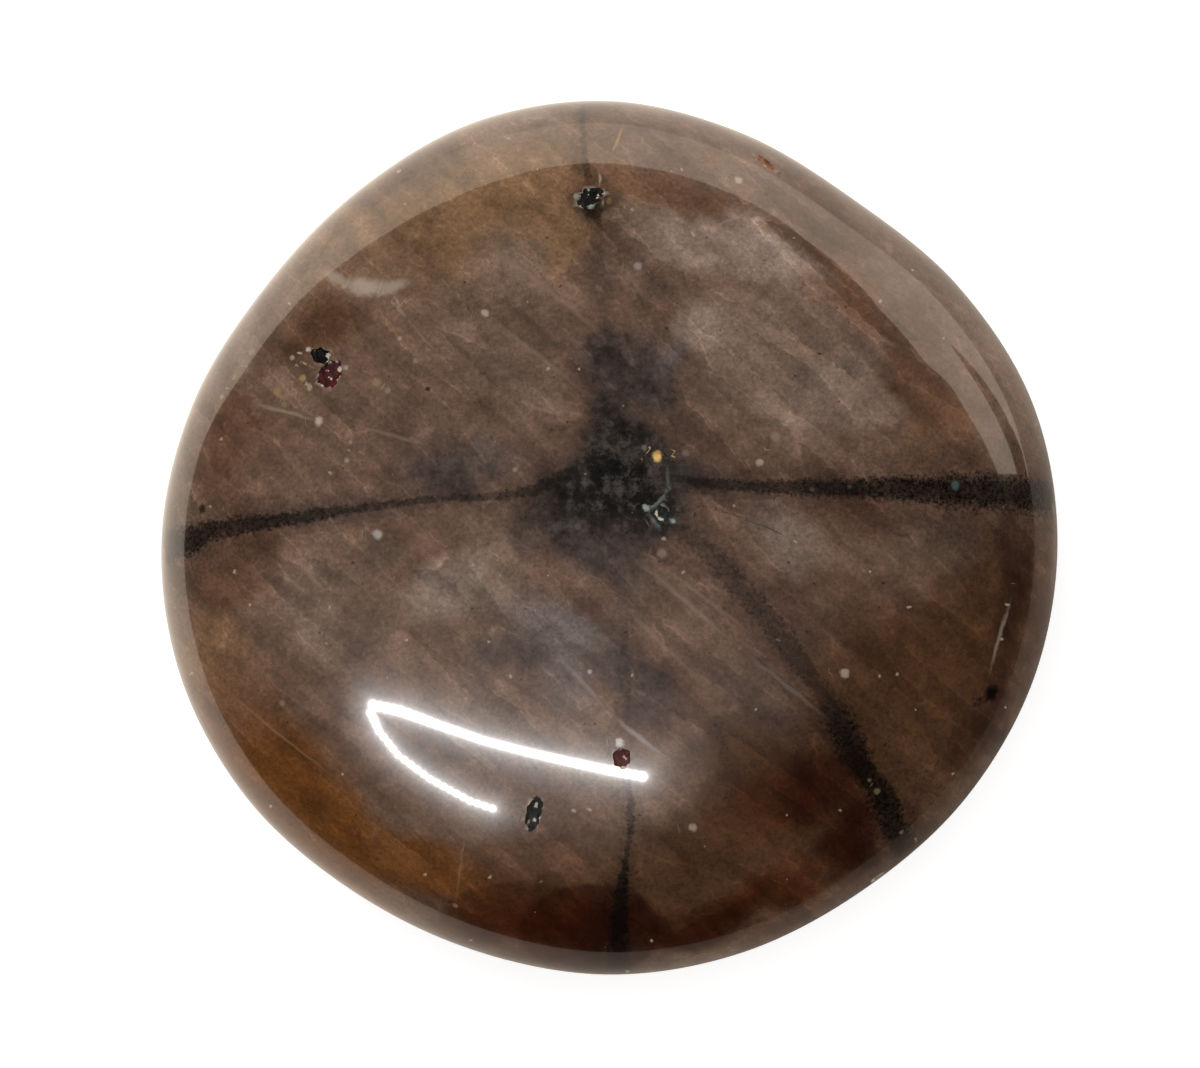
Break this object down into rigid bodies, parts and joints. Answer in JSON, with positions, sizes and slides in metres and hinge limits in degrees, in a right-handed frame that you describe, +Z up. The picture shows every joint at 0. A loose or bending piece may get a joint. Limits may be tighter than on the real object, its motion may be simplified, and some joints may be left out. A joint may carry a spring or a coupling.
{
  "type": "chiastolite slice",
  "caption": "Polished pillow-shaped slice of brown chiastolite with a dark graphite cross, domed above and below, that lies on a small flat spot.",
  "frame": {"origin": "on the flat spot the slice rests on, under the middle of its box seen from above", "axes": "+Z up out of the upper polished face, +X along the cross's arm to the right, +Y towards the top of the face"},
  "size_m": [0.0362, 0.0352, 0.0108],
  "materials": {
    "polished_chiastolite": "hand-polished brown andalusite with dark graphite inclusions in a cross, glossy all over, with a few open pits"
  },
  "bodies": {
    "root": {"chiastolite_slice": "polished_chiastolite"}
  },
  "joints": []
}
